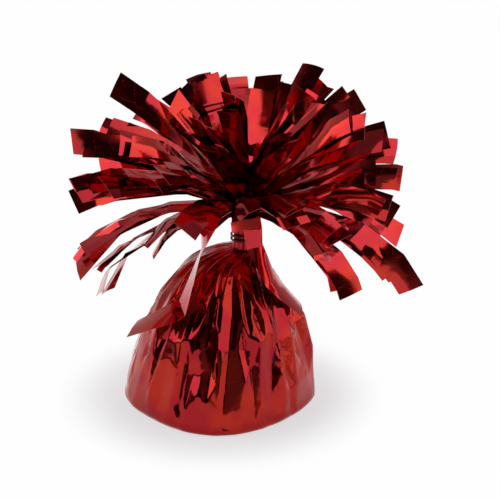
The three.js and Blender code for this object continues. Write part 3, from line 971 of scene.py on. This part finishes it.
UPPER_STRIPS = tuple(ArchedStrip(*place) for place in (
    (8, 25, 0.9, 18, 70), (33, 31, 0.93, 14, 45), (51, 41, 0.9, 14, 20), (74, 47, 0.79, 14, 5),
    (95, 38, 0.88, 14, -5), (118, 46, 0.84, 15, -20), (144, 52, 0.75, 12, -40),
    (164, 40, 1.0, 10, -65, 1), (207, 32, 0.9, 20, -60), (240, 50, 0.8, 18, -20),
    (292, 42, 0.8, 20, 25), (345, 37, 0.86, 22, 60),
))
CROWN_STRIPS = tuple(ArchedStrip(*place, plies=4, spread=4.0) for place in (
    (21, 54, 0.74, 12, 35), (70, 58, 0.76, 10, 10), (128, 62, 0.76, 10, -20),
    (185, 58, 0.74, 10, -50), (250, 74, 0.72, 12, -10), (315, 58, 0.74, 14, 40),
))


class Tier(Enum):
    """The rings of strips, from the drooping one to the upright one in the middle."""

    LOW = ("low", 0.65, 0.2, LOW_STRIPS)
    MIDDLE = ("middle", 1.4, 0.16, MIDDLE_STRIPS)
    UPPER = ("upper", 2.85, 0.2, UPPER_STRIPS)
    CROWN = ("crown", 3.65, 0.2, CROWN_STRIPS)

    def __init__(self, label: str, inset: float, rise_handle: float, strips: tuple) -> None:
        """Names the parts of a tier's value.

        Args:
            label: the tier's word in the names of its strips.
            inset: how far the roots are set in from the neck's rim.
            rise_handle: how far a strip rises straight up at first, in shares of its reach.
            strips: the tier's strips, in order round the neck.
        """
        self.label = label
        self.inset = inset
        self.rise_handle = rise_handle
        self.strips = strips


@dataclass
class Station:
    """One place along a blade: its middle, the vector to its edge and the vector of its crease."""

    middle: Vector
    edge: Vector
    crease: Vector

    def lerp(self, other: "Station", share: float) -> "Station":
        """Returns the station at a share of the way to another."""
        return Station(
            self.middle.lerp(other.middle, share), self.edge.lerp(other.edge, share),
            self.crease.lerp(other.crease, share),
        )


@dataclass
class FilmFan:
    """The slit margins of both sheets, which fan out above the neck.

    A span of shares says where along a strip something starts and is complete. The chances of a ply
    are spans to draw from, or choices.
    """

    body: WrappedBody
    centre_above_neck: float = 6.0
    fan_reach: float = 60.0
    route_unit: float = 10.0
    seat_gap: float = 0.3
    strip_width: float = 9.0
    crowding: float = 2.0
    clearance: float = 0.2
    root_stub: float = 1.2
    tip_handle: float = 0.4
    crease: float = 0.7
    film: float = 0.12
    steps: int = 24
    arch_points: int = 200
    route_points: int = 20
    roll_span: Pair = (0.2, 1.0)
    twist_span: Pair = (0.15, 0.4)
    lie_span: Pair = (0.55, 0.72)
    parting_power: float = 2.0
    tip_parting: float = 4.0
    middle_sway: float = 1.2
    stray_shares: Pair = (0.6, 1.0)
    first_ply_roll: float = 8.0
    ply_roll: float = 25.0
    ply_roll_span: Pair = (0.1, 1.0)
    ply_widths: tuple[float, ...] = (1.0, 1.0, 0.85, 0.6)
    ply_width_span: Pair = (0.0, 0.3)
    ply_lengths: Pair = (0.85, 1.0)
    ply_creases: Pair = (0.0, 1.4)
    tip_cut: float = 1.2
    tip_cut_span: Pair = (0.75, 1.001)
    section_powers: tuple[float, ...] = (1.0, 1.3, 2.0)
    root_folds: tuple[float, ...] = (0.08, 0.16, 0.25, 0.36)
    far_folds: int = 2
    far_fold_span: Pair = (0.5, 0.95)
    fold_nudge: float = 0.9
    folds_in_place: int = 3
    cells_along: int = 60
    cells_across: int = 6
    crumple: float = 0.12
    facet: float = 8.0
    pattern_range: float = 50.0

    @property
    def centre_height(self) -> float:
        """Height of the centre that the fan spreads about."""
        return self.body.neck_top + self.centre_above_neck

    def root(self, tier: Tier, index: int) -> tuple[Vector, float]:
        """Finds where a strip starts.

        Args:
            tier: the strip's tier.
            index: the strip's place in the tier.

        Returns:
            Its root on the neck's top, and the root's turn.
        """
        turn = 360 * index / len(tier.strips)
        root = heading(turn) * (self.body.neck_radius - tier.inset)
        return root + self.body.axis_at(self.body.neck_top + self.seat_gap), turn

    def arched_path(self, root: Vector, strip: ArchedStrip, rise_handle: float) -> list[Vector]:
        """Finds the way of an arched strip from its root to its tip.

        Args:
            root: the strip's root.
            strip: the strip.
            rise_handle: how far it rises straight up at first, in shares of its reach.

        Returns:
            Points of the arch, evenly apart.
        """
        reach = strip.reach * self.fan_reach
        tip = self.body.axis_at(self.centre_height) + heading(strip.turn, strip.rise) * reach
        rising = root + UP * (rise_handle * reach)
        before = tip - heading(strip.turn, strip.rise - strip.bend) * (self.tip_handle * reach)
        return self.even(interpolate_bezier(root, rising, before, tip, self.arch_points))

    def fallen_path(self, root: Vector, strip: FallenStrip) -> list[Vector]:
        """Finds the way that a fallen strip takes over the body.

        Args:
            root: the strip's root.
            strip: the strip.

        Returns:
            Points of a smooth curve through its places, evenly apart.
        """
        knots = [root, root + UP * self.root_stub]
        for turn, from_centre, stand_off in strip.places:
            z = self.centre_height + self.route_unit * from_centre
            reach = self.body.ridge_radius(min(z, self.body.neck_top))
            reach += self.route_unit * stand_off
            knots.append(heading(turn) * reach + self.body.axis_at(z))
        ends = [knots[0] * 2 - knots[1], *knots, knots[-1] * 2 - knots[-2]]
        dense = []
        for before, start, end, after in zip(ends, ends[1:], ends[2:], ends[3:]):
            leaving, arriving = start + (end - before) / 6, end - (after - start) / 6
            dense += interpolate_bezier(start, leaving, arriving, end, self.route_points + 1)[:-1]
        return self.even([*dense, knots[-1]])

    def even(self, dense: Sequence[Vector]) -> list[Vector]:
        """Spaces points evenly along a line.

        Args:
            dense: many points of the line.

        Returns:
            One point more than there are steps.
        """
        lengths = [0.0]
        for a, b in zip(dense, dense[1:]):
            lengths.append(lengths[-1] + (b - a).length)
        points, j = [], 0
        for step in range(self.steps + 1):
            goal = lengths[-1] * step / self.steps
            while j < len(dense) - 2 and lengths[j + 1] < goal:
                j += 1
            share = (goal - lengths[j]) / max(lengths[j + 1] - lengths[j], 1e-9)
            points.append(dense[j].lerp(dense[j + 1], min(max(share, 0), 1)))
        return points

    def width_at(self, place: Vector, count: int) -> float:
        """Finds a strip's width, which fills its share of the circle round the neck at first.

        Args:
            place: a point of the strip's middle line.
            count: how many strips its tier has.

        Returns:
            The width there.
        """
        from_axis = math.hypot(place.x - self.body.neck_lean, place.y)
        share = self.crowding * math.tau * from_axis / count - self.clearance
        return min(self.strip_width, share)

    def stations(self, tier: Tier, index: int) -> list[Station]:
        """Finds the stations along a strip's own path, as its solid has them.

        Args:
            tier: the strip's tier.
            index: the strip's place in the tier.

        Returns:
            The stations, from the root to the tip.
        """
        strip = tier.strips[index]
        root, root_turn = self.root(tier, index)
        lies = isinstance(strip, FallenStrip)
        if lies:
            path = self.fallen_path(root, strip)
        else:
            path = self.arched_path(root, strip, tier.rise_handle)
        made = []
        for step, middle in enumerate(path):
            share = step / self.steps
            along = (path[min(step + 1, self.steps)] - path[max(step - 1, 0)]).normalized()
            if lies:
                away = middle - self.body.axis_at(middle.z)
                sideways = UP.cross(away.normalized())
                turned = lerp(strip.twist, strip.lie, smoothstep(share, *self.lie_span))
                roll = math.radians(turned) * smoothstep(share, *self.twist_span)
            else:
                sideways = heading(lerp(root_turn, unwound(strip.turn, root_turn), share) + 90)
                roll = math.radians(strip.roll) * smoothstep(share, *self.roll_span)
            across = (sideways - along * sideways.dot(along)).normalized()
            across = Matrix.Rotation(roll, 3, along) @ across
            width = self.width_at(middle, len(tier.strips))
            proud = along.cross(across) * (self.crease * width / self.strip_width)
            made.append(Station(middle, across * (width / 2), proud))
        return made

    def stray(
        self, tier: Tier, strip: ArchedStrip | FallenStrip, number: int, chance: random.Random
    ) -> Pair:
        """Draws how far a ply's tip strays from its strip's.

        The plies of a middle strip part outwards, from the first to the second ply of its solid.
        Others stray any way.

        Args:
            tier: the strip's tier.
            strip: the strip.
            number: 0 for the ply that keeps the strip's path, and 1 upwards for those beside it.
            chance: the strip's own random numbers.

        Returns:
            How far it strays across the strip's face and out of it, in millimetres.
        """
        if number == 0:
            return 0.0, 0.0
        if tier is Tier.MIDDLE:
            sway = chance.uniform(-self.middle_sway, self.middle_sway)
            return sway, self.tip_parting * number / (strip.plies - 1)
        turn = chance.uniform(0, math.tau)
        reach = strip.spread * chance.uniform(*self.stray_shares)
        return reach * math.cos(turn), reach * math.sin(turn)

    def ply(
        self, main: list[Station], number: int, stray: Pair, chance: random.Random
    ) -> tuple[list[Station], float]:
        """Bends a copy of a strip's path into one ply of film, with flat panels between its folds.

        Args:
            main: the stations of the strip's own path.
            number: 0 for the ply that keeps the path, and 1 upwards for those beside it.
            stray: how far its tip strays across the strip's face and out of it, in millimetres.
            chance: the strip's own random numbers.

        Returns:
            The ply's stations, and how round its section is.
        """
        aside, outwards = stray
        most_roll = self.first_ply_roll if number == 0 else self.ply_roll
        roll = math.radians(chance.uniform(-most_roll, most_roll))
        narrow = 1.0 if number == 0 else chance.choice(self.ply_widths)
        length = 1.0 if number == 0 else chance.uniform(*self.ply_lengths)
        crease = chance.uniform(*self.ply_creases)
        cut = chance.uniform(-self.tip_cut, self.tip_cut)
        free = []
        for step in range(round(self.steps * length) + 1):
            share = step / self.steps
            here = main[step]
            beside = main[min(step + 1, self.steps)].middle - main[max(step - 1, 0)].middle
            along = beside.normalized()
            across = here.edge.normalized()
            fanned = share ** self.parting_power
            middle = here.middle + across * (fanned * aside)
            middle += along.cross(across) * (fanned * outwards)
            turned = Matrix.Rotation(roll * smoothstep(share, *self.ply_roll_span), 3, along)
            edge = turned @ here.edge * lerp(1.0, narrow, smoothstep(share, *self.ply_width_span))
            edge += along * (cut * smoothstep(share, *self.tip_cut_span))
            free.append(Station(middle, edge, turned @ here.crease * crease))
        return self.panelled(free, chance), chance.choice(self.section_powers)

    def panelled(self, free: list[Station], chance: random.Random) -> list[Station]:
        """Lays flat panels between a few folds, in the place of an even curve.

        Args:
            free: the stations of the even curve.
            chance: the strip's own random numbers.

        Returns:
            As many stations, those between two folds on a straight line, each fold a little off.
        """
        last = len(free) - 1
        near_root = [round(self.steps * share) for share in self.root_folds]
        far = [round(last * chance.uniform(*self.far_fold_span)) for _ in range(self.far_folds)]
        folds = sorted({step for step in [0, *near_root, *far, last] if step <= last})
        places = []
        for number, step in enumerate(folds):
            here = free[step]
            nudge = self.fold_nudge * chance.uniform(-1, 1) if number >= self.folds_in_place else 0.0
            middle = here.middle + here.crease.normalized() * nudge
            places.append(Station(middle, here.edge, here.crease))
        made = [places[0]]
        for (start, end), (first, second) in zip(zip(folds, folds[1:]), zip(places, places[1:])):
            for step in range(1, end - start + 1):
                made.append(first.lerp(second, step / (end - start)))
        return made

    @staticmethod
    def name_of(tier: Tier, index: int) -> str:
        """Returns the name of a strip's solid."""
        strip = tier.strips[index]
        return strip.name if isinstance(strip, FallenStrip) else f"{tier.label}_strip_{index + 1:02d}"

    def build(self, tier: Tier, index: int, tree: NodeTree, finish: Material) -> Object:
        """Builds the blades of film that stand for one strip.

        Args:
            tier: the strip's tier.
            index: the strip's place in the tier.
            tree: the tree that sweeps a ribbon.
            finish: the film's material.

        Returns:
            The finished piece.
        """
        strip = tier.strips[index]
        name = self.name_of(tier, index)
        chance = random.Random(name)
        main = self.stations(tier, index)
        plies = [
            self.ply(main, number, self.stray(tier, strip, number, chance), chance)
            for number in range(strip.plies)
        ]
        mesh = line_mesh(name, [[station.middle for station in blade] for blade, _ in plies])
        stations = [station for blade, _ in plies for station in blade]
        store(mesh, "edge", [station.edge * MM for station in stations])
        store(mesh, "crease", [station.crease * MM for station in stations])
        store(mesh, "roundness", [power for blade, power in plies for _ in blade])
        piece = new_object(f"{name}_film", mesh)
        grow(piece, tree, {
            "Stations": self.cells_along, "Cells Across": self.cells_across,
            "Crumple": self.crumple * MM, "Facet": self.facet * MM,
            "Seed": [chance.uniform(0, self.pattern_range) for _ in range(3)], "Finish": finish,
        }, wall=self.film * MM)
        return piece


# Tie


@dataclass
class WireTie:
    """The coated wire wound round the neck, with its two ends twisted together."""

    body: WrappedBody
    wire: float = 0.8
    above_shoulder: float = 2.6
    turns: int = 2
    pitch: float = 1.4
    opening: float = 52.0
    waist_inset: float = 0.3
    tail_turn: float = 97.0
    tail_length: float = 7.0
    tail_reach: float = 3.4
    tail_twists: float = 1.5
    tail_gap: float = 0.6
    loop_steps: int = 20
    twist_steps: int = 7
    cells_along: int = 220
    sides: int = 10

    @property
    def start_height(self) -> float:
        """Height at which the winding starts."""
        return self.body.shoulder_height + self.above_shoulder

    def tail(self, phase: float) -> list[Vector]:
        """Finds the way of one end of the wire, outwards along the twisted pair.

        Args:
            phase: where round the pair it starts, in degrees.

        Returns:
            The points of its centre line.
        """
        height = self.start_height + self.pitch * self.turns / 2
        out, across = heading(self.tail_turn), heading(self.tail_turn + 90)
        swing = (self.wire + self.tail_gap) / 2
        steps = round(self.twist_steps * self.tail_twists)
        points = []
        for step in range(steps + 1):
            share = step / steps
            angle = math.radians(phase) + math.tau * self.tail_twists * share
            point = self.body.axis_at(height + swing * math.sin(angle))
            point += out * (self.body.neck_radius + self.tail_reach + self.tail_length * share)
            points.append(point + across * (swing * math.cos(angle)))
        points.append(points[-1] + out * self.wire)
        return points

    def route(self) -> list[Vector]:
        """Returns the wire's centre line from one end round the neck to the other."""
        radius = self.body.neck_radius - self.waist_inset + self.wire / 2
        swept = 360 * self.turns - self.opening
        steps = round(self.loop_steps * swept / 360)
        winding = []
        for step in range(steps + 1):
            share = step / steps
            out = heading(self.tail_turn + self.opening / 2 + swept * share)
            height = self.start_height + self.pitch * self.turns * share
            winding.append(out * radius + self.body.axis_at(height))
        return self.tail(-90)[::-1] + winding + self.tail(90)

    def build(self, tree: NodeTree, finish: Material) -> Object:
        """Builds the wire.

        Args:
            tree: the tree that sweeps a round wire.
            finish: the wire's material.

        Returns:
            The finished piece.
        """
        piece = new_object("wire_tie_wound", line_mesh("wire_tie_wound", [self.route()]))
        grow(piece, tree, {
            "Stations": self.cells_along, "Diameter": self.wire * MM, "Sides": self.sides,
            "Finish": finish,
        })
        return piece


# Stage


@dataclass(frozen=True)
class SoftBox:
    """A square soft lamp, aimed at the object. Its distance, side and aim are in metres."""

    name: str
    turn: float
    rise: float
    away: float
    side: float
    radiance: float
    aim_height: float = 0.06

    def place(self) -> None:
        """Adds the lamp to the scene."""
        lamp = bpy.data.lights.new(self.name, "AREA")
        lamp.shape = "SQUARE"
        lamp.size = self.side
        lamp.energy = self.radiance * math.pi * self.side ** 2
        holder = bpy.data.objects.new(self.name, lamp)
        bpy.context.scene.collection.objects.link(holder)
        towards = heading(self.turn, self.rise)
        holder.location = towards * self.away + UP * self.aim_height
        holder.rotation_euler = towards.to_track_quat("Z", "Y").to_euler()


@dataclass
class Studio:
    """A pale floor, soft lamps and the camera at the photograph's angle.

    The floor's side and its drop below the object are in metres. A side of the surround is told by a
    span of the direction's own coordinates, from -1 to 1.
    """

    floor_side: float = 8.0
    floor_drop: float = 2e-5
    floor_tint: str = "#F6F1FB"
    elevation: float = 22.0
    lens: float = 120.0
    sensor: float = 36.0
    frame_pixels: float = 500.0
    pixel_mm: float = 0.358
    base_pixel: Pair = (220.0, 392.0)
    # Near the object the floor glows less, which paints a grey shade round the foot; its reach is in
    # millimetres.
    paper_glow_and_painted_shade: Pair = (0.6, 0.98)
    painted_shadow_mm: Pair = (35.0, 60.0)
    front_level: float = 0.02
    back_level: float = 0.5
    back_side: Pair = (-0.4, 0.6)
    band_level: float = 0.16
    band_front: Pair = (-0.5, 0.0)
    band_height: Pair = (0.3, 0.6)
    band_side: Pair = (0.3, 0.5)
    lamps: tuple[SoftBox, ...] = (
        SoftBox("overhead_lamp", 90, 68, 1.2, 0.9, 0.8),
        SoftBox("left_lamp", 190, 30, 1.0, 0.9, 1.7),
        SoftBox("right_lamp", 348, 25, 1.0, 0.95, 1.45),
    )

    def camera(self) -> None:
        """Adds the camera so that the base's centre lands on its pixel of the photograph."""
        tilt = math.radians(self.elevation)
        looking = Vector((0, math.cos(tilt), -math.sin(tilt)))
        image_up = Vector((0, math.sin(tilt), math.cos(tilt)))
        middle = self.frame_pixels / 2
        right = (middle - self.base_pixel[0]) * self.pixel_mm * MM
        above = (self.base_pixel[1] - middle) * self.pixel_mm * MM
        distance = self.pixel_mm * MM * self.frame_pixels * self.lens / self.sensor
        eye = bpy.data.cameras.new("camera")
        eye.lens = self.lens
        eye.sensor_width = self.sensor
        holder = bpy.data.objects.new("camera", eye)
        bpy.context.scene.collection.objects.link(holder)
        holder.location = Vector((right, 0, 0)) + image_up * above - looking * distance
        holder.rotation_euler = looking.to_track_quat("-Z", "Y").to_euler()
        bpy.context.scene.camera = holder

    def floor(self) -> None:
        """Adds a floor that is lit as paper is, and that the camera and mirrors see as nearly white,
        except round the object's foot, where it glows less and so shows a painted grey shade besides
        its real shadow.
        """
        half = self.floor_side / 2
        corners_round = ((-half, -half), (half, -half), (half, half), (-half, half))
        mesh = bpy.data.meshes.new("floor")
        mesh.from_pydata([(x, y, -self.floor_drop) for x, y in corners_round], [], [(0, 1, 2, 3)])
        paper = bpy.data.materials.new("floor_paper")
        tree = cleared_tree(paper)
        skin = add_node(tree, "ShaderNodeBsdfDiffuse", {"Color": linear(self.floor_tint)})
        glow = add_node(tree, "ShaderNodeEmission", {"Color": linear(WHITE), "Strength": 1.0})
        ray = add_node(tree, "ShaderNodeLightPath").outputs
        mirrored = maths(tree, "MAXIMUM", ray["Is Glossy Ray"], ray["Is Transmission Ray"])
        seen = maths(tree, "MAXIMUM", ray["Is Camera Ray"], mirrored)
        place = add_node(tree, "ShaderNodeTexCoord").outputs["Object"]
        painted_shadow_reach = (self.painted_shadow_mm[0] * MM, self.painted_shadow_mm[1] * MM)
        # Painted shade: the glow share falls near the object, so the floor round the foot reads grey
        # even where no shadow falls.
        painted_shade_glow = map_range(tree, vector_maths(tree, "LENGTH", place), painted_shadow_reach, self.paper_glow_and_painted_shade)
        both = add_node(tree, "ShaderNodeMixShader", {
            "Fac": maths(tree, "MULTIPLY", seen, painted_shade_glow), 1: skin, 2: glow,
        })
        add_node(tree, "ShaderNodeOutputMaterial", {"Surface": both})
        mesh.materials.append(paper)
        new_object("floor", mesh)

    def light(self) -> None:
        """Adds the lamps, and a surround that is pale behind and in a low band in front."""
        world = bpy.data.worlds.new("surround")
        bpy.context.scene.world = world
        tree = cleared_tree(world)
        direction = add_node(tree, "ShaderNodeTexCoord").outputs["Generated"]
        x, y, z = add_node(tree, "ShaderNodeSeparateXYZ", {"Vector": direction}).outputs
        behind = map_range(tree, y, self.back_side, (self.front_level, self.back_level))
        low = map_range(tree, z, self.band_height, (self.band_level, 0.0))
        narrow = map_range(tree, maths(tree, "ABSOLUTE", x), self.band_side, (1.0, 0.0))
        front = map_range(tree, y, self.band_front, (1.0, 0.0))
        band = maths(tree, "MULTIPLY", maths(tree, "MULTIPLY", low, narrow), front)
        strength = maths(tree, "ADD", behind, band)
        camera_ray = add_node(tree, "ShaderNodeLightPath").outputs["Is Camera Ray"]
        level = add_node(tree, "ShaderNodeBackground", {
            "Color": linear(WHITE), "Strength": maths(tree, "MAXIMUM", strength, camera_ray),
        })
        add_node(tree, "ShaderNodeOutputWorld", {"Surface": level})
        for lamp in self.lamps:
            lamp.place()

    def build(self) -> None:
        """Sets up the whole stage."""
        bpy.context.scene.view_settings.view_transform = "Standard"
        self.camera()
        self.floor()
        self.light()


# Assembly


def attach(piece: Object, node: str) -> None:
    """Lets a piece ride on the body and stand for a node, and reports it.

    Args:
        piece: the piece.
        node: the node that it replaces.
    """
    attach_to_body(piece, BODY)
    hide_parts(node)
    piece.data.calc_loop_triangles()
    log.info("%s stands for %s: %d triangles", piece.name, node, len(piece.data.loop_triangles))


def dress(node: str, finish: Material) -> None:
    """Gives a carried-over node its material."""
    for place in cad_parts[node].material_slots:
        place.material = finish
    log.info("%s keeps its solid, finished as %s", node, finish.name)


def main() -> None:
    """Builds the stage, then each sub-assembly."""
    logging.basicConfig(level=logging.INFO, format="%(message)s")
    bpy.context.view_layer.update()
    Studio().build()
    # Painted shade: the wrap is the same film as the strips, but it gets a darker copy of their tints,
    # #98101A and #AA200E in place of #B41D27 and #C02818.
    wrap_film_painted_shade = MetallisedFilm("metallised_film_wrap", "#98101A", "#AA200E", lacquer=0.25).material()
    strip_film = MetallisedFilm("metallised_film_strips").material()
    white = PlainFinish("moulded_polystyrene", "#EDEBE4", "#E2DFD6", 0.5, 0.8, 0.01).material()
    grey = PlainFinish("cast_mineral_filling", "#B4AFA4", "#928D82", 0.9, 1.2, 0.15).material()
    coated = PlainFinish("coated_wire", "#96121C", "#780C14", 0.35, 0.6, 0.01, coat=0.2).material()
    ribbon, wrap, wire = ribbon_tree(), wrap_tree(), wire_tree()

    body = WrappedBody()
    outer_film = body.build(wrap, wrap_film_painted_shade)
    attach(outer_film, "outer_film")
    fan = FilmFan(body)
    for tier in Tier:
        for index in range(len(tier.strips)):
            piece = fan.build(tier, index, ribbon, strip_film)
            attach(piece, fan.name_of(tier, index))
    attach(WireTie(body).build(wire, coated), "wire_tie")
    dress("base_plate", white)
    dress("weight_shell", white)
    dress("weight_fill", grey)
    dress("inner_film", wrap_film_painted_shade)
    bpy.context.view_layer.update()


if __name__ == "__main__":
    main()
